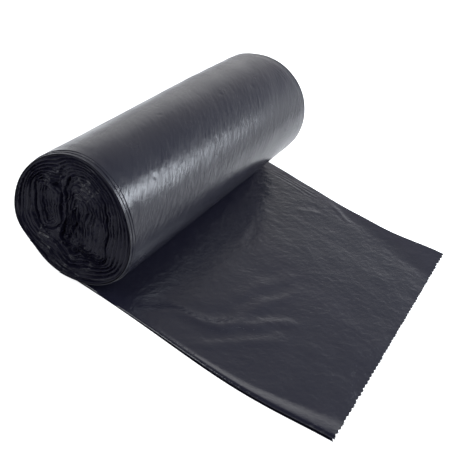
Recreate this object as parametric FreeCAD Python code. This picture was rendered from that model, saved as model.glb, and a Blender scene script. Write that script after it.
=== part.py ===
import FreeCAD, Part
import math
import os

# A roll of refuse sacks without a core. One web of film, folded flat to the roll's width, is wound
# on itself, and its first sack is unrolled on the floor in front. X runs along the roll, -Y to the
# sack's torn edge, Z up, and the floor is z = 0. The near end is at -X, the far end at +X.

# the roll
roll_width = 350.0
roll_half_width = 56.7
roll_half_height = 56.4
# the roll sags a little under its own weight: it stands on a flat spot, leans over the unrolled
# sack and is wider low down than high up
flat_spot_sink = 1.5
roll_lean = 1.2
roll_pear = 0.07

# the last two turns were wound further and further to the far side of the turns inside them, so
# they leave steps round the near rim and stand out as a lip round the far one
turn_step_depth = 1.3
turn_shift = 2.6

# the turns that show on the ends, as one spiral groove per end
groove_width = 1.3
groove_depth = 3.0
turns_in_ring = 3
first_turn_inset = 5.8
last_turn_margin = 4.0

# the innermost turns have collapsed into two bundles that lie back from the ends
core_radius = 33.5
core_recess = 7.0
core_y = 1.5
core_z = 56.0
furrow_width = 3.4
furrow_depth = 7.0
big_bundle_turns = 2.5
small_bundle_turns = 1.5

# the unrolled sack: layers of film and the air between them
sack_length = 253.5
sack_thickness = 1.3
near_edge_rise = 4.2
near_edge_roll = 9.0
corner_lift = 2.5
edge_sway = 8.0
wave_height = 1.3
tooth_pitch = 6.0
tooth_depth = 1.6

half_width = roll_width / 2.0
inner_shift = -1.15 * turn_shift
last_shift = inner_shift + 2.0 * turn_shift
flat_spot_half = roll_half_width * math.sqrt(1.0 - (1.0 - flat_spot_sink / roll_half_height) ** 2)
section_points = 16


def smooth(t):
    t = max(0.0, min(1.0, t))
    return t * t * (3.0 - 2.0 * t)


def rim_point(angle, inset):
    """A point of the roll's section in Y and Z, on its outside or a little way in."""
    a = roll_half_width - inset
    b = roll_half_height - inset
    y = a * math.cos(angle) * (1.0 - roll_pear * math.sin(angle)) + roll_lean * math.sin(angle)
    return y, roll_half_height - flat_spot_sink + b * math.sin(angle)


def arc_edges(x, points):
    """Edges through points of Y and Z, one arc through every three, so an odd number is given."""
    places = [FreeCAD.Vector(x, y, z) for y, z in points]
    edges = []
    for i in range(0, len(places) - 2, 2):
        edges.append(Part.Arc(places[i], places[i + 1], places[i + 2]).toShape())
    return edges


def closed_wire(x, points):
    return Part.Wire(arc_edges(x, points + points[:1]))


def prism(points, x, length):
    """A closed outline in Y and Z drawn out along X."""
    return Part.Face(closed_wire(x, points)).extrude(FreeCAD.Vector(length, 0, 0))


def turn_body(inset, x, length):
    """The roll out to one turn, from x along its length."""
    angles = [2.0 * math.pi * i / section_points for i in range(section_points)]
    return prism([rim_point(a, inset) for a in angles], x, length)


def strip_prism(path, width, x, length):
    """A groove cutter: a strip of one width along a path in Y and Z, drawn out along X."""
    left = []
    right = []
    for i in range(len(path)):
        before = path[max(i - 1, 0)]
        after = path[min(i + 1, len(path) - 1)]
        dy = after[0] - before[0]
        dz = after[1] - before[1]
        size = math.hypot(dy, dz)
        ny = -dz / size * width / 2.0
        nz = dy / size * width / 2.0
        left.append((path[i][0] + ny, path[i][1] + nz))
        right.append((path[i][0] - ny, path[i][1] - nz))
    tip = FreeCAD.Vector(x, *left[-1])
    tip_end = FreeCAD.Vector(x, *right[-1])
    root = FreeCAD.Vector(x, *left[0])
    root_end = FreeCAD.Vector(x, *right[0])
    edges = arc_edges(x, left)
    edges.append(Part.makeLine(tip, tip_end))
    edges += arc_edges(x, right)[::-1]
    edges.append(Part.makeLine(root_end, root))
    return Part.Face(Part.Wire(edges)).extrude(FreeCAD.Vector(length, 0, 0))


def core_point(angle, share):
    """The edge of the collapsed middle, or an outline inside it when share is under 1."""
    r = core_radius * share * (1.0 + 0.04 * math.cos(2.0 * (angle + 0.6)))
    return core_y + r * math.cos(angle), core_z + r * math.sin(angle)


def ring_spiral():
    """The film's path between the last turns and the collapsed middle."""
    ring_width = (roll_half_width + roll_half_height) / 2.0 - core_radius
    first = first_turn_inset / ring_width
    last = 1.0 - last_turn_margin / ring_width
    steps = 2 * int(round(8.0 * turns_in_ring))
    path = []
    for i in range(steps + 1):
        angle = 2.0 * math.pi * i / 16.0 - math.pi / 2.0
        share = first + (last - first) * i / steps
        rim_y, rim_z = rim_point(angle, 0.0)
        inner_y, inner_z = core_point(angle, 1.0)
        path.append((rim_y * (1.0 - share) + inner_y * share, rim_z * (1.0 - share) + inner_z * share))
    return path


def furrow_path():
    """The crease between the two bundles, from high on the back side down to the bottom."""
    top = (core_y + core_radius * 0.66, core_z + core_radius * 0.74)
    low = (core_y - core_radius * 0.05, core_z - core_radius * 0.97)
    path = []
    for i in range(9):
        t = i / 8.0
        y = top[0] + (low[0] - top[0]) * t - core_radius * 0.10 * math.sin(2.0 * math.pi * t)
        z = top[1] + (low[1] - top[1]) * t
        path.append((y, z))
    return path


def bundle_spiral(centre, half_wide, half_tall, tilt, turns, start):
    """The turns of one bundle: a flattened spiral from its skin to its middle."""
    path = []
    steps = 2 * int(round(6.0 * turns))
    for i in range(steps + 1):
        angle = start + 2.0 * math.pi * i / 12.0
        share = 1.0 - 0.82 * i / steps
        u = half_wide * share * math.cos(angle)
        v = half_tall * share * math.sin(angle)
        path.append((centre[0] + u * math.cos(tilt) - v * math.sin(tilt),
                     centre[1] + u * math.sin(tilt) + v * math.cos(tilt)))
    return path


def end_cutters(outward):
    """What is cut from one end: turn grooves, the recessed middle, its furrow and its turns."""
    face_x = inner_shift + outward * half_width
    inward = -outward
    clear = 2.0
    start = face_x + outward * clear
    cutters = [strip_prism(ring_spiral(), groove_width, start, inward * (clear + groove_depth))]
    edge = [core_point(2.0 * math.pi * i / 16.0, 1.0) for i in range(16)]
    cutters.append(prism(edge, start, inward * (clear + core_recess)))
    floor_depth = clear + core_recess
    cutters.append(strip_prism(furrow_path(), furrow_width, start, inward * (floor_depth + furrow_depth)))
    big = bundle_spiral((core_y - core_radius * 0.33, core_z + core_radius * 0.04),
                        core_radius * 0.50, core_radius * 0.80, 0.10, big_bundle_turns, -1.2)
    small = bundle_spiral((core_y + core_radius * 0.60, core_z - core_radius * 0.14),
                          core_radius * 0.22, core_radius * 0.52, 0.22, small_bundle_turns, 1.9)
    for path in (big, small):
        cutters.append(strip_prism(path, groove_width, start, inward * (floor_depth + groove_depth)))
    return cutters


def sack_edges(y):
    """The sack's near and far edge at one distance in front of the roll: it swings a little."""
    t = max(0.0, min(1.0, -y / sack_length))
    sway = edge_sway * math.sin(math.pi * t ** 1.6) ** 1.5
    near = last_shift - half_width + t - sway
    far = last_shift + half_width - 2.0 * t - sway
    return near, far


def lift_under(x, y, near, far):
    """How high the sack's underside stands off the floor: negative where it lies flat."""
    t = max(0.0, min(1.0, -y / sack_length))
    from_far = far - x
    lift = corner_lift * smooth((t - 0.65) / 0.3) * (1.0 - smooth(from_far / 45.0))
    return lift - 0.5 * smooth(from_far / 30.0) - 0.2 * (1.0 - smooth((t - 0.65) / 0.3))


def top_height(x, y, near, far):
    """The height of the sack's upper face, with its risen near edge and its long soft waves."""
    t = max(0.0, min(1.0, -y / sack_length))
    rise = (near_edge_rise - sack_thickness) * math.sin(math.pi * min(1.0, 0.1 + t)) ** 0.7
    rise = rise * (1.0 - smooth((x - near) / (near_edge_roll + 16.0 * t))) * smooth((t - 0.2) / 0.25)
    across = (x - near) / (far - near)
    crease = math.sin(2.0 * math.pi * (2.2 * across + 1.1 * t) + 0.5)
    wave = wave_height * (0.5 + 0.5 * crease) * smooth((t - 0.25) / 0.2) * smooth(across / 0.1)
    wave = wave * smooth((1.0 - across) / 0.1) * (1.0 - 0.6 * across)
    under = max(0.0, lift_under(x, y, near, far))
    return sack_thickness + under + rise + wave


def sack_row(y, height):
    """Points across the roll's width at one distance in front, close together at the edges."""
    near, far = sack_edges(y)
    width = far - near
    row = []
    for share in column_shares:
        x = near + width * share
        row.append(FreeCAD.Vector(x, y, height(x, y, near, far)))
    return row


def sack_sheet(height):
    surface = Part.BSplineSurface()
    surface.interpolate([sack_row(y, height) for y in sack_rows])
    return surface.toShape()


def joining_face(upper, lower, end):
    """The upright face between the two sheets along one of their four edges."""
    first = upper.Edges[end]
    second = lower.Edges[end]
    return Part.makeRuledSurface(first, second)


column_count = 12
column_shares = [0.5 - 0.5 * math.cos(math.pi * i / column_count) for i in range(column_count + 1)]
row_count = 7
# the sack is the last turn's own film, so it starts under the roll, across its flat spot
sheet_length = flat_spot_half + sack_length + 6.0
sack_rows = [flat_spot_half - sheet_length * i / row_count for i in range(row_count + 1)]
upper_sheet = sack_sheet(top_height)
lower_sheet = sack_sheet(lift_under)
faces = [upper_sheet, lower_sheet]
faces += [joining_face(upper_sheet, lower_sheet, i) for i in range(4)]
shell = Part.makeShell(faces)
shell.sewShape()
sack = Part.Solid(shell)
if sack.Volume < 0:
    sack.reverse()

# the torn perforation: a row of small teeth along the sack's free edge
teeth = int(round((roll_width + 40.0) / tooth_pitch))
edge_points = []
for i in range(teeth + 1):
    x = -teeth * tooth_pitch / 2.0 + tooth_pitch * i
    slant = -2.0 * x / half_width
    edge_points.append(FreeCAD.Vector(x, -sack_length + slant, -5.0))
    edge_points.append(FreeCAD.Vector(x + tooth_pitch / 2.0, -sack_length + slant - tooth_depth, -5.0))
edge_points.append(FreeCAD.Vector(edge_points[-1].x, -sack_length - 60.0, -5.0))
edge_points.append(FreeCAD.Vector(edge_points[0].x, -sack_length - 60.0, -5.0))
edge_points.append(edge_points[0])
tear = Part.Face(Part.makePolygon(edge_points)).extrude(FreeCAD.Vector(0, 0, 40.0))
sack = sack.cut(tear)

# the roll with its last two turns each shifted along, and the sack leaving it at the bottom
roll = turn_body(0.0, last_shift - half_width, roll_width)
for turns_in in (1, 2):
    inset = turns_in * turn_step_depth
    shift = last_shift - turns_in * turn_shift
    roll = roll.fuse(turn_body(inset, shift - half_width, roll_width))
    roll = roll.cut(turn_body(inset, shift + half_width, 4.0 * turn_shift))
for cutter in end_cutters(-1.0) + end_cutters(1.0):
    roll = roll.cut(cutter)
whole = roll.fuse(sack)

# both lie on the floor, so what would be under it is cut away: that leaves the flat spot
under_floor = Part.makeBox(roll_width + 100.0, sack_length + 300.0, 60.0,
                           FreeCAD.Vector(-half_width - 50.0, -sack_length - 100.0, -60.0))
bag_roll = whole.cut(under_floor).removeSplitter()

os.makedirs("parts", exist_ok=True)
bag_roll.exportStep("parts/bag_roll.step")
print("solids", len(bag_roll.Solids), "valid", bag_roll.isValid())
print("volume", round(bag_roll.Volume / 1000.0, 1), "cm3", "box", bag_roll.BoundBox)
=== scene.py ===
import math

import bmesh
import bpy
from mathutils import Matrix, Vector, noise


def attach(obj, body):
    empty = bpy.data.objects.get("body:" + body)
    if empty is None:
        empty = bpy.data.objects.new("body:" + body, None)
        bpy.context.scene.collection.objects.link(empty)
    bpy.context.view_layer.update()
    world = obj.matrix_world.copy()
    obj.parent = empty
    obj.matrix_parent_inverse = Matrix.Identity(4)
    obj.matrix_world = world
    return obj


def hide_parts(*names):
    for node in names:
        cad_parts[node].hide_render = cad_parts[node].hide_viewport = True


# A roll of black refuse sacks without a core, lying on its side with its first sack unrolled.
# X runs along the roll, -Y to the torn edge of the sack, Z up, in metres. The near end is at -X.
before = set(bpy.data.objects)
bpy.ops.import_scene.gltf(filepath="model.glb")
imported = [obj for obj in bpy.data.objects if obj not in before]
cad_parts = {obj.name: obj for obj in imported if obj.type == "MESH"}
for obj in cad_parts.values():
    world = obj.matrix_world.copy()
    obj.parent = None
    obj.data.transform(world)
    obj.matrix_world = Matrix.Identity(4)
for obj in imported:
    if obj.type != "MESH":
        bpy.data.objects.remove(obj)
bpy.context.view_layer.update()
MM = 0.001


# The camera stands at the near end, left of the loose sack, and is held tilted, so the roll runs
# up the picture and the sack lies to its right.
camera = bpy.data.objects.new("camera", bpy.data.cameras.new("camera"))
bpy.context.scene.collection.objects.link(camera)
camera.data.sensor_width = 36.0
camera.data.lens = 64.94
look = Vector((0.82164, 0.22959, -0.52172))
right = Vector((0.43744, -0.84080, 0.31891))
above = right.cross(look)
camera_turn = Matrix((right, above, -look)).transposed().to_4x4()
camera.matrix_world = Matrix.Translation((-0.6441, -0.2463, 0.4170)) @ camera_turn
bpy.context.scene.camera = camera


# The floor is plain white. It glows by itself for the camera, and less for mirrored rays, but
# lights nothing, so it is white in the picture and still keeps the roll's shadow.
FLOOR_GLOW = 0.76
MIRRORED_SHARE = 0.30
floor_mesh = bmesh.new()
bmesh.ops.create_grid(floor_mesh, x_segments=1, y_segments=1, size=6.0)
floor_data = bpy.data.meshes.new("floor")
floor_mesh.to_mesh(floor_data)
floor_mesh.free()
floor = bpy.data.objects.new("floor", floor_data)
bpy.context.scene.collection.objects.link(floor)
floor_paint = bpy.data.materials.new("floor white")
floor_paint.use_nodes = True
floor_nodes = floor_paint.node_tree.nodes
floor_links = floor_paint.node_tree.links
floor_shader = floor_nodes["Principled BSDF"]
floor_shader.inputs["Base Color"].default_value = (0.93, 0.93, 0.93, 1.0)
floor_shader.inputs["Roughness"].default_value = 0.9
floor_shader.inputs["Emission Color"].default_value = (1.0, 1.0, 1.0, 1.0)
ray = floor_nodes.new("ShaderNodeLightPath")
mirrored = floor_nodes.new("ShaderNodeMath")
mirrored.operation = "MAXIMUM"
floor_links.new(ray.outputs["Is Glossy Ray"], mirrored.inputs[0])
floor_links.new(ray.outputs["Is Transmission Ray"], mirrored.inputs[1])
floor_seen = floor_nodes.new("ShaderNodeMath")
floor_seen.operation = "MULTIPLY_ADD"
floor_seen.inputs[1].default_value = MIRRORED_SHARE
floor_links.new(mirrored.outputs[0], floor_seen.inputs[0])
floor_links.new(ray.outputs["Is Camera Ray"], floor_seen.inputs[2])
floor_glow = floor_nodes.new("ShaderNodeMath")
floor_glow.operation = "MULTIPLY"
floor_glow.inputs[1].default_value = FLOOR_GLOW
floor_links.new(floor_seen.outputs[0], floor_glow.inputs[0])
floor_links.new(floor_glow.outputs[0], floor_shader.inputs["Emission Strength"])
floor_data.materials.append(floor_paint)


# The room is bright near the floor and dimmer higher up. Beyond the sack it is bluer, and brightest
# low down like a window, and behind the near end it is dim.
ROOM_LEVELS = ((0.35, 0.91), (0.48, 0.48), (0.62, 0.49))
world = bpy.data.worlds.new("white room")
world.use_nodes = True
bpy.context.scene.world = world
room = world.node_tree.nodes
room_links = world.node_tree.links
room_way = room.new("ShaderNodeTexCoord")
room_split = room.new("ShaderNodeSeparateXYZ")
room_links.new(room_way.outputs["Generated"], room_split.inputs[0])


def way_along(axis, start, stop):
    """How far a direction has come from start to stop along one axis, from 0 to 1."""
    share = room.new("ShaderNodeMapRange")
    share.inputs["From Min"].default_value = start
    share.inputs["From Max"].default_value = stop
    room_links.new(room_split.outputs[axis], share.inputs["Value"])
    return share.outputs["Result"]


def room_mix(blend, share):
    mix = room.new("ShaderNodeMix")
    mix.data_type = "RGBA"
    mix.blend_type = blend
    room_links.new(share, mix.inputs["Factor"])
    return mix


by_height = room.new("ShaderNodeValToRGB")
by_height.color_ramp.elements[0].color = (1.0, 1.0, 1.0, 1.0)
by_height.color_ramp.elements[1].position = 0.80
by_height.color_ramp.elements[1].color = (0.42, 0.42, 0.43, 1.0)
for height, level in ROOM_LEVELS:
    by_height.color_ramp.elements.new(height).color = (level, level, 1.02 * level, 1.0)
room_links.new(room_split.outputs["Z"], by_height.inputs[0])
window = room_mix("MIX", way_along("Z", 0.52, 0.30))
window.inputs["A"].default_value = (0.68, 0.78, 0.92, 1.0)
window.inputs["B"].default_value = (1.12, 1.16, 1.20, 1.0)
daylight = room_mix("MULTIPLY", way_along("Y", 0.22, -0.45))
room_links.new(by_height.outputs["Color"], daylight.inputs["A"])
room_links.new(window.outputs["Result"], daylight.inputs["B"])
dim_side = room_mix("MULTIPLY", way_along("X", 0.20, -0.35))
dim_side.inputs["B"].default_value = (0.34, 0.34, 0.38, 1.0)
room_links.new(daylight.outputs["Result"], dim_side.inputs["A"])
room_links.new(dim_side.outputs["Result"], room["Background"].inputs["Color"])
room["Background"].inputs["Strength"].default_value = 0.95


# A soft box stands beyond the loose sack, low and to the right, and draws the bright band along
# the roll. Two more hang over the floor in front and behind and brighten it, and one stands to the
# left of the camera and picks out the folds of the near end. Sizes are in metres, energy in watts.
PALE_BLUE = (0.87, 0.93, 1.0)
NEARLY_WHITE = (0.95, 0.98, 1.0)
for name, place, aim, size, size_y, energy, colour in (
        ("soft box", (0.56, -0.555, 0.515), (-0.10, 0.0, 0.06), 0.24, 0.20, 2.05, PALE_BLUE),
        ("front floor light", (0.35, -0.75, 1.10), (0.30, -0.50, 0.0), 0.60, 0.60, 7.6, NEARLY_WHITE),
        ("back floor light", (0.35, 0.65, 0.95), (0.25, 0.28, 0.0), 0.50, 0.50, 3.3, NEARLY_WHITE),
        ("end light", (-0.85, 0.30, 0.58), (-0.18, 0.0, 0.04), 0.50, 0.30, 3.2, NEARLY_WHITE)):
    lamp_data = bpy.data.lights.new(name, "AREA")
    lamp_data.shape = "RECTANGLE"
    lamp_data.size = size
    lamp_data.size_y = size_y
    lamp_data.energy = energy
    lamp_data.color = colour
    lamp = bpy.data.objects.new(name, lamp_data)
    bpy.context.scene.collection.objects.link(lamp)
    lamp.location = place
    lamp.rotation_euler = (Vector(aim) - lamp.location).to_track_quat("-Z", "Y").to_euler()


# The film: glossy black polyethylene, a little blue, with fine wrinkles. The web was stretched
# as it was wound, so the wrinkles are drawn out one way on each piece.
FILM = (0.0130, 0.0128, 0.0240, 1.0)
# the film on the ends, painted darker: painted shade for the light lost between the turns
FILM_PAINTED_DARKER_AS_FOLD_SHADE = (0.0075, 0.0070, 0.0150, 1.0)
# an edge that is bent by more than this, in radians, is drawn sharp
SHARP_BEND = 1.1


def film(name, stretch, bump, roughness, lean=0.0, gloss=0.5, colour=FILM, wound=False):
    """The film's material. Wound film carries its place along and round the roll, and how rumpled
    it is, with its points."""
    material = bpy.data.materials.new(name)
    material.use_nodes = True
    nodes = material.node_tree.nodes
    links = material.node_tree.links
    shader = nodes["Principled BSDF"]
    shader.inputs["Base Color"].default_value = colour
    shader.inputs["IOR"].default_value = 1.50
    shader.inputs["Specular IOR Level"].default_value = gloss
    if wound:
        where = nodes.new("ShaderNodeAttribute")
        where.attribute_name = "wound"
        place = where.outputs["Vector"]
    else:
        where = nodes.new("ShaderNodeTexCoord")
        place = where.outputs["Object"]
    leaned = nodes.new("ShaderNodeMapping")
    leaned.inputs["Rotation"].default_value = (0.0, 0.0, lean)
    links.new(place, leaned.inputs["Vector"])
    drawn = nodes.new("ShaderNodeMapping")
    drawn.inputs["Scale"].default_value = stretch
    links.new(leaned.outputs["Vector"], drawn.inputs["Vector"])
    fine = nodes.new("ShaderNodeTexNoise")
    fine.inputs["Scale"].default_value = 1.0
    fine.inputs["Detail"].default_value = 4.0
    fine.inputs["Roughness"].default_value = 0.62
    fine.inputs["Distortion"].default_value = 0.4
    links.new(drawn.outputs["Vector"], fine.inputs["Vector"])
    broad = nodes.new("ShaderNodeTexNoise")
    broad.inputs["Scale"].default_value = 34.0
    broad.inputs["Detail"].default_value = 3.0
    links.new(place, broad.inputs["Vector"])
    haze = nodes.new("ShaderNodeMapRange")
    haze.inputs["From Min"].default_value = 0.3
    haze.inputs["From Max"].default_value = 0.7
    haze.inputs["To Min"].default_value = roughness - 0.05
    haze.inputs["To Max"].default_value = roughness + 0.06
    links.new(broad.outputs["Fac"], haze.inputs["Value"])
    links.new(haze.outputs["Result"], shader.inputs["Roughness"])
    wrinkles = nodes.new("ShaderNodeBump")
    wrinkles.inputs["Strength"].default_value = 1.0
    wrinkles.inputs["Distance"].default_value = bump
    if wound:
        how_rumpled = nodes.new("ShaderNodeAttribute")
        how_rumpled.attribute_name = "rumpled"
        links.new(how_rumpled.outputs["Fac"], wrinkles.inputs["Strength"])
    links.new(fine.outputs["Fac"], wrinkles.inputs["Height"])
    links.new(wrinkles.outputs["Normal"], shader.inputs["Normal"])
    return material


def finished(name, mesh, material):
    """A piece from its bmesh: smooth, in its place on the roll's body."""
    bmesh.ops.recalc_face_normals(mesh, faces=mesh.faces)
    for face in mesh.faces:
        face.smooth = True
    for edge in mesh.edges:
        edge.smooth = not (edge.is_manifold and edge.calc_face_angle() > SHARP_BEND)
    data = bpy.data.meshes.new(name)
    mesh.to_mesh(data)
    mesh.free()
    data.materials.append(material)
    piece = bpy.data.objects.new(name, data)
    bpy.context.scene.collection.objects.link(piece)
    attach(piece, "root")
    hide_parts("bag_roll")
    return piece


# The outer turn. The roll is soft, so its near end has sagged lower and wider than its far end,
# and the film on it is drawn into fine wrinkles that run round the roll. Sizes below are in mm.
HALF = 175.0
RADIUS = 56.0
# how far the last turn lies to the far side of the roll's middle
LAST_SHIFT = 2.2
LEAST_RUMPLED = 0.45
AROUND = 236
ALONG = 186
# dimples in the film: their place along the roll, and round it in degrees
DIMPLES = ((33.4, 97.0), (-128.6, 132.6), (-24.4, 132.6), (88.0, 106.0), (-62.0, 84.0))
# the turns under the last one: how many turns in, where the edge lies, and how far in it is made
TURNS_BELOW = ((1, -175.4, 6.0), (2, -178.0, 8.0), (1, 174.6, -6.0))


def smooth(t):
    """0 before 0, 1 after 1 and a soft step between."""
    t = max(0.0, min(1.0, t))
    return t * t * (3.0 - 2.0 * t)


def hump(value, middle, width):
    """1 at the middle, and falling off to 0 on both sides of it."""
    return math.exp(-((value - middle) / width) ** 2)


def angle_at(share):
    """The angle at a share of the way round, from the bottom up the back: 0 is at the back."""
    return -math.pi / 2.0 + 2.0 * math.pi * share


def rim(angle, end, inset=0.0):
    """The roll's section in Y and Z: end is 0 at the near end and 1 at the far end."""
    half_wide = 56.7 - inset
    half_tall = 53.9 + 3.7 * end - inset
    middle = 55.1 + 1.2 * end
    pear = 0.13 * (1.0 - end)
    lean = 2.0 - 1.5 * end
    y = half_wide * math.cos(angle) * (1.0 - pear * math.sin(angle)) + lean * math.sin(angle)
    # the film is slack: it swells at the back toward the far end, and is drawn in low at the near one
    degrees = math.degrees(angle)
    full = 3.8 * smooth((end - 0.05) / 0.7) * hump(degrees, 40.0, 21.0)
    hollow = 3.6 * hump(degrees, -59.0, 23.0) + 1.3 * hump(degrees, -12.0, 22.0)
    full -= hollow * smooth(1.0 - 2.0 * end)
    z = middle + half_tall * math.sin(angle) + full * math.sin(angle)
    return y + full * math.cos(angle), max(z, 0.9 + inset * 0.3)


skin = bmesh.new()
wound_place = skin.verts.layers.float_vector.new("wound")
rumpled_film = skin.verts.layers.float.new("rumpled")
bmesh.ops.create_grid(skin, x_segments=ALONG, y_segments=AROUND, size=0.5)
for v in skin.verts:
    angle = angle_at(v.co.y + 0.5)
    degrees = math.degrees(angle)
    ring = Vector((math.cos(angle), math.sin(angle)))
    # the rows lie closer together toward the ends, and the ends are a little ragged
    reach = 2.0 * (v.co.x + 0.5) - 1.0
    reach = math.copysign(1.0 - (1.0 - abs(reach)) ** 1.2, reach)
    side = math.copysign(1.0, reach)
    ragged = 0.5 * noise.noise(Vector((3.0 * ring.x, 3.0 * ring.y, 5.0 * side)))
    x = LAST_SHIFT + reach * (HALF + ragged)
    y, z = rim(angle, (x + HALF) / (2.0 * HALF))
    # broad waves, and wrinkles that lean as the web was wound and are stronger where it is rumpled
    swell = 0.45 * noise.noise(Vector((x * 0.010, 1.6 * ring.x, 1.6 * ring.y)))
    helix = x + 50.0 * angle
    swell += 0.16 * noise.noise(Vector((helix * 0.045, 2.0 * ring.x, 2.0 * ring.y + 9.0)))
    rumpled = hump(x, -5.0, 90.0) * hump(degrees, 136.0, 17.0)
    rumpled += 1.2 * hump(x, -95.0, 95.0) * hump(degrees, 162.0, 15.0)
    rumple = noise.noise(Vector((helix * 0.13, 3.2 * ring.x, 3.2 * ring.y)))
    rumple += 0.6 * noise.noise(Vector((helix * 0.26, 5.0 * ring.x, 5.0 * ring.y + 4.0)))
    swell += (0.03 + 0.15 * rumpled) * rumple
    swell += 0.06 * math.sin(x * 1.25 + 2.0 * ring.y) * smooth((x - 128.0) / 30.0)
    for dimple_x, dimple_degrees in DIMPLES:
        aside = math.hypot(x - dimple_x, (degrees - dimple_degrees) * 0.98)
        swell -= 0.35 * hump(aside, 0.0, 1.8)
    # the film draws in at the ends, and is pressed flat on the floor
    swell -= 0.35 * smooth((abs(x - LAST_SHIFT) - HALF + 14.0) / 9.0)
    if z < 6.0:
        swell *= smooth(z / 6.0)
    v.co = Vector((x, y + ring.x * swell, z + ring.y * swell)) * MM
    v[wound_place] = Vector((x, RADIUS * angle, 0.0)) * MM
    v[rumpled_film] = LEAST_RUMPLED + 0.75 * rumpled
for turns_in, outer_end, reach in TURNS_BELOW:
    sleeve = bmesh.ops.create_grid(skin, x_segments=3, y_segments=AROUND, size=0.5)
    for v in sleeve["verts"]:
        angle = angle_at(v.co.y + 0.5)
        ring = Vector((math.cos(angle), math.sin(angle)))
        share = round((v.co.x + 0.5) * 3.0) / 3.0
        ragged = 0.5 * noise.noise(Vector((2.0 * ring.x, 2.0 * ring.y, turns_in + 0.01 * outer_end)))
        x = outer_end + ragged + reach * share
        inset = 0.55 * turns_in + 0.3 * (1.0 - share) ** 2
        y, z = rim(angle, (outer_end + HALF) / (2.0 * HALF), inset)
        v.co = Vector((x, y, z)) * MM
        v[wound_place] = Vector((x, RADIUS * angle, 0.0)) * MM
        v[rumpled_film] = LEAST_RUMPLED
bmesh.ops.remove_doubles(skin, verts=skin.verts, dist=0.00002)
bmesh.ops.solidify(skin, geom=skin.faces[:], thickness=0.0004)
roll_film = film("film on the roll", (280.0, 70.0, 1.0), 0.00075, 0.22, lean=-0.75, wound=True)
finished("outer_turn", skin, roll_film)


# The turns that show on an end. The web goes round and round, and the innermost turns, with no core
# to hold them, have fallen together in two nests of folds with a deep furrow between: a big one in
# front, and a small crumpled one behind it. Each line of places is given in Y and Z.
BIG_HEART = [(0.5, 64.0), (-1.5, 56.0), (-4.0, 45.0), (-6.0, 37.0)]
SMALL_HEART = [(28.0, 64.0), (26.5, 56.0), (22.0, 44.0)]
SMALL_REACH = 11.0
FURROW = [(20.0, 87.0), (20.5, 74.0), (15.0, 62.0), (11.0, 52.0), (5.5, 44.0), (4.0, 36.0), (1.0, 28.0)]
PLEATS = [
    [(12.8, 85.0), (13.9, 76.0), (10.5, 67.6), (6.8, 56.0), (5.6, 46.0), (4.5, 36.0), (1.5, 29.0)],
    [(1.1, 60.0), (-3.5, 51.0), (-2.4, 43.0), (0.2, 34.0)],
]
LIPS = [
    [(43.5, 32.0), (37.0, 23.0), (28.5, 14.5)],
    [(21.5, 31.0), (10.0, 24.5), (-2.5, 21.0)],
    [(19.0, 14.5), (1.0, 12.6), (-14.5, 15.6), (-26.5, 22.0)],
    [(13.0, 7.6), (-6.0, 6.2), (-17.5, 8.0)],
]
# how many turns go round between the rim and the nests, and how many folds each nest has
RING_TURNS = 7.0
BIG_FOLDS = 9.0
SMALL_FOLDS = 4.5
# how far the turns inside lie to the near side of the roll's middle
INNER_SHIFT = -3.0
END_COLUMNS = 350
WEB_ROWS = 179
WEB_STEP = 0.3


def way_to(place, path):
    """The shortest way to a place from a line of places."""
    best = Vector((1000.0, 0.0))
    for a, b in zip(path, path[1:]):
        a, b = Vector(a), Vector(b)
        run = b - a
        share = max(0.0, min(1.0, (place - a).dot(run) / run.length_squared))
        gap = place - a - run * share
        if gap.length < best.length:
            best = gap
    return best


def near_spot(place, spot, radius):
    return hump((place - Vector(spot)).length, 0.0, radius)


def fold(phase):
    """1 in the narrow valley between two turns, 0 on their rounded backs."""
    return (0.5 + 0.5 * math.cos(2.0 * math.pi * phase)) ** 1.6


def turn_level(turn, place, seed):
    """How far one turn stands in or out. It changes slowly along the turn."""
    return noise.noise(Vector((5.3 * turn, place.x * 0.022, place.y * 0.022 + seed)))


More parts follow.
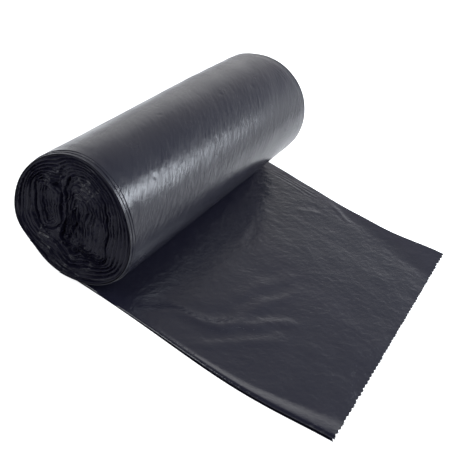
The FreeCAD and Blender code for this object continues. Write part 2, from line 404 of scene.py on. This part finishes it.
def turns_depth(place, inset, seed):
    """How far in from the end the folded web lies at a place of Y and Z, inset from the rim."""
    seeded = Vector((place.x, place.y, seed))
    # the folds wander, and more so further in
    drift = Vector((noise.noise(seeded * 0.055), noise.noise(seeded * 0.055 + Vector((9.0, 4.0, 2.0)))))
    drift += 0.35 * Vector((noise.noise(seeded * 0.19), noise.noise(seeded * 0.19 + Vector((3.0, 8.0, 5.0)))))
    place = place + drift * (1.2 + 3.0 * smooth((inset - 4.0) / 14.0))
    # how far inside each nest the place is: 1 at its heart, 0 at its edge and less outside
    big = way_to(place, BIG_HEART)
    back = big.x / max(big.length, 0.01)
    down = -big.y / max(big.length, 0.01)
    big_reach = 29.0 - max(19.0 * smooth((back - 0.3) / 0.7), 18.5 * smooth((down - 0.05) / 0.75))
    in_big = 1.0 - big.length / big_reach
    small = way_to(place, SMALL_HEART)
    in_small = 1.0 - small.length / SMALL_REACH
    inside = max(in_big, in_small)
    outside = min(-in_big * big_reach, -in_small * SMALL_REACH)
    # the phase counts the turns inward from the rim, and sharp is the depth of the valleys between
    if inside > 0.0:
        phase = RING_TURNS + (BIG_FOLDS if in_big > in_small else SMALL_FOLDS) * inside
        depth = 2.7 - 0.4 * smooth(inside / 0.15) + 1.8 * inside * inside
        sharp = 1.4 * min(1.0, big_reach / 18.0) if in_big > in_small else 1.1
    else:
        round_it = inset / (inset + outside)
        phase = RING_TURNS * round_it
        depth = 1.6 * round_it + 1.1 * smooth((round_it - 0.92) / 0.08)
        sharp = 1.6 * smooth((inset - 2.2) / 1.5)
    turn = math.floor(phase)
    level = turn_level(turn, place, seed)
    level += (turn_level(turn + 1, place, seed) - level) * smooth((phase - turn - 0.62) / 0.38)
    # two spots are nearly flat, elsewhere the valleys are deeper or shallower from place to place
    flat = max(near_spot(place, (15.0, 44.0), 6.0), near_spot(place, (-19.0, 38.0), 5.5))
    deep = min(1.15, max(0.55, 0.85 + 1.1 * noise.noise(seeded * 0.05 + Vector((0.0, 5.0, 0.0)))))
    deep *= 1.0 - 0.85 * flat
    depth += 2.0 * min(0.15, level) * smooth((inset - 3.0) / 3.0) * (1.0 - 0.5 * flat)
    depth += sharp * deep * (fold(phase) + 0.22 * min(1.0, sharp) * fold(3.0 * phase + level))
    # the innermost folds are lumpy, and a deep line runs over the top of the big nest
    core = smooth((inset - 14.0) / 8.0)
    depth += core * (0.8 * noise.noise(seeded * 0.13) + 0.5 * noise.noise(seeded * 0.31))
    depth += 0.35 * noise.noise(seeded * 0.30) * smooth((inset - 2.9) / 1.0)
    arch = smooth((-big.x - 4.0) / 10.0) * smooth((place.y - 36.0) / 10.0) * core
    depth += 2.0 * arch * hump(in_big * big_reach, 0.0, 1.3)
    # the furrow between the nests, sharp pleats beside it, and lips of film that stand out below
    furrow = way_to(place, FURROW).length
    depth += (0.6 + 2.6 * smooth((place.y - 45.0) / 15.0)) * hump(furrow, 0.0, 2.2)
    pleat = min(way_to(place, path).length for path in PLEATS)
    depth += 1.9 * hump(pleat, 0.0, 0.9) - 1.2 * hump(pleat, 2.2, 1.0)
    lip = min(way_to(place, path).length for path in LIPS)
    depth -= 1.4 * hump(lip, 0.0, 0.9)
    # a crumpled patch over the small nest, and one small knob of film below the big one
    crumple = near_spot(place, (28.0, 74.0), 9.0)
    depth += crumple * (4.4 * abs(noise.noise(Vector((place.x * 0.12, place.y * 0.26, 3.0 + seed)))) - 1.8)
    depth -= 2.8 * near_spot(place, (-5.6, 31.6), 1.6)
    return depth


def end_turns(name, side, end, seed):
    """The turns on one end, as a lid inside the outer turn: side is -1 at the near end."""
    mesh = bmesh.new()
    # inset from the rim and depth of each row: the back, the wall and the rim of the lid, and then
    # the folded web, whose depth is worked out place by place
    rows = [(RADIUS, 20.0), (2.2, 20.0), (2.0, 1.2)]
    rows += [(2.2 + WEB_STEP * i, 0.0) for i in range(WEB_ROWS)]
    rows += [(RADIUS, 0.0)]
    bmesh.ops.create_grid(mesh, x_segments=END_COLUMNS, y_segments=len(rows) - 1, size=0.5)
    middle = Vector((1.0, RADIUS))
    for v in mesh.verts:
        angle = angle_at(v.co.x + 0.5)
        row = round((v.co.y + 0.5) * (len(rows) - 1))
        inset, depth = rows[row]
        place = Vector(rim(angle, end)).lerp(middle, inset / RADIUS)
        if row > 2:
            depth = turns_depth(place, inset, seed)
        v.co = Vector((side * (HALF - depth) + INNER_SHIFT, place.x, place.y)) * MM
    bmesh.ops.remove_doubles(mesh, verts=mesh.verts, dist=0.000005)
    # the ends' film is painted darker and made less glossy, as painted shade between the turns
    shaded_fold_film = film(name + " film", (150.0, 150.0, 150.0), 0.00020, 0.22,
                       gloss=0.14, colour=FILM_PAINTED_DARKER_AS_FOLD_SHADE)
    finished(name, mesh, shaded_fold_film)


end_turns("near_end_turns", -1.0, 0.0, 1.0)
end_turns("far_end_turns", 1.0, 1.0, 5.0)


# The first sack, unrolled: the web is folded in half along its length, so an upper and a lower
# leaf lie on each other, joined along the far edge and open along the near one.
LENGTH = 257.0
# how far the lower leaf lies over the floor
FLOOR_GAP = 0.25
# the upper leaf's teeth, which take four columns each
TEETH = (0.0, 0.7, 1.0, 0.7)
LOWER_COLUMNS = 116
FOLD_COLUMNS = 6
UPPER_COLUMNS = 232
SACK_ROWS = 84
# each crease: its line in X and Y, its width and its height
CREASES = [
    ([(-173, -66), (-158, -78), (-142, -94), (-133, -117),
      (-116, -139), (-89, -161), (-67, -182), (-48, -193)], 6.0, 0.85),
    ([(-147, -80), (-139, -104), (-136, -120), (-124, -132),
      (-98, -139), (-70, -146), (-34, -160), (-10, -166)], 5.4, 0.62),
    ([(-172, -120), (-151, -139), (-124, -158), (-108, -172), (-80, -186)], 5.0, 0.55),
    ([(-90, -120), (-60, -128), (-20, -146), (14, -152)], 5.5, 0.40),
    ([(-4, -93), (20, -90), (46, -84)], 2.8, -0.40),
    ([(160, -124), (152, -140), (140, -158)], 3.2, 0.42),
    ([(106, -106), (120, -114), (132, -132)], 4.4, 0.30),
    ([(151, -44), (150, -76), (149, -110)], 1.7, 0.22),
    ([(157, -42), (157, -80), (155, -118)], 1.2, 0.28),
    ([(163, -44), (163, -80), (161, -112)], 1.1, 0.25),
]


def leaf_edges(t):
    """The near and the far edge of the leaves in X: t is 0 at the roll and 1 at the tear."""
    sway = 8.0 * math.sin(math.pi * min(t, 1.0) ** 1.6) ** 1.5
    drawn_in = 2.2 * hump(t, 0.78, 0.12)
    return LAST_SHIFT - HALF + t - sway, 1.8 + HALF - 4.0 * t - sway - drawn_in


def crease_height(x, y):
    """The creases are ridges with a shallow trough beside them, and they waver a little."""
    waver_x = noise.noise(Vector((x * 0.05, y * 0.05, 1.0)))
    waver_y = noise.noise(Vector((x * 0.05, y * 0.05, 6.0)))
    place = Vector((x, y)) + 3.0 * Vector((waver_x, waver_y))
    height = 0.0
    for path, wide, tall in CREASES:
        start, stop = Vector(path[0]), Vector(path[-1])
        gap = way_to(place, path)
        if gap.length > 5.0 * wide:
            continue
        run = stop - start
        share = max(0.0, min(1.0, (place - start).dot(run) / run.length_squared))
        aside = math.copysign(gap.length, run.cross(gap))
        shape = hump(aside, 0.0, wide) - 0.5 * hump(aside, 2.0 * wide, 1.3 * wide)
        height += tall * shape * smooth(share * 5.0) * smooth((1.0 - share) * 4.0)
    return height


def lift_under(x, t):
    """How far the far corner of the sack stands off the floor."""
    beyond = x - 150.0 + 0.35 * (LENGTH * t - 150.0)
    if beyond <= 0.0:
        return 0.0
    rise = beyond * beyond / 210.0 if beyond < 13.0 else 0.124 * beyond - 0.80
    return rise * smooth((t - 0.45) / 0.20)


def upper_height(x, y, t, near):
    """The height of the upper leaf: a rolled bead at the near edge, soft waves and the creases."""
    bead = 0.4 + 1.7 * smooth((t - 0.25) / 0.35) + 1.6 * smooth((t - 0.55) / 0.45)
    bead *= 1.0 - smooth((x - near) / (5.0 + 25.0 * t ** 3))
    wave = 0.6 * noise.noise(Vector((x * 0.016, y * 0.016, 2.0)))
    wave += 0.25 * noise.noise(Vector((x * 0.05, y * 0.05, 4.0)))
    wave += 0.13 * noise.noise(Vector((0.16 * x + 0.10 * y, 0.30 * y - 0.05 * x, 7.0)))
    wave *= smooth(t / 0.15)
    creases = crease_height(x, y) * smooth((x - near) / 6.0)
    hem = 0.5 + 0.5 * smooth((x - near) / 1.4)
    return (1.35 + bead + max(-0.8, wave + creases)) * hem + lift_under(x, t)


sack = bmesh.new()
columns = LOWER_COLUMNS + FOLD_COLUMNS + UPPER_COLUMNS
bmesh.ops.create_grid(sack, x_segments=columns, y_segments=SACK_ROWS, size=0.5)
for v in sack.verts:
    column = round((v.co.x + 0.5) * columns)
    # the first rows lie on each other under the roll, and the rows draw a little closer to the tear
    t = 0.5 - v.co.y
    t = max(0.0, 1.03 * t - 0.03 + 0.06 * t * (1.0 - t))
    near, far = leaf_edges(t)
    y = -LENGTH * t
    if column <= LOWER_COLUMNS:
        share = column / LOWER_COLUMNS
        x = near - 0.5 + (far - near) * share
        z = FLOOR_GAP + lift_under(x, t)
    elif column < LOWER_COLUMNS + FOLD_COLUMNS:
        swing = math.pi * (column - LOWER_COLUMNS) / FOLD_COLUMNS
        gap = upper_height(far, y, t, near) - lift_under(far, t) - FLOOR_GAP
        x = far + 0.7 * math.sin(swing)
        z = FLOOR_GAP + lift_under(far, t) + gap * (0.5 - 0.5 * math.cos(swing))
    else:
        share = (columns - column) / UPPER_COLUMNS
        x = near + (far - near) * share
        z = upper_height(x, y, t, near)
    # the tear slants a little and is toothed and ragged
    slant = -2.4 * x / HALF
    if column > LOWER_COLUMNS:
        tooth = TEETH[(column - LOWER_COLUMNS - FOLD_COLUMNS) % 4]
    else:
        tooth = float(column % 2)
    torn = 1.6 * tooth - 0.8 * noise.noise(Vector((x * 0.11, z * 0.2, 8.0)))
    y += (slant + torn) * smooth((t - 0.97) / 0.03)
    v.co = Vector((x, y, z)) * MM
bmesh.ops.solidify(sack, geom=sack.faces[:], thickness=0.00005)
sack_film = film("film of the sack", (130.0, 190.0, 100.0), 0.00048, 0.15, lean=0.5)
first_sack = finished("first_sack", sack, sack_film)

bpy.context.scene.view_settings.view_transform = "Standard"
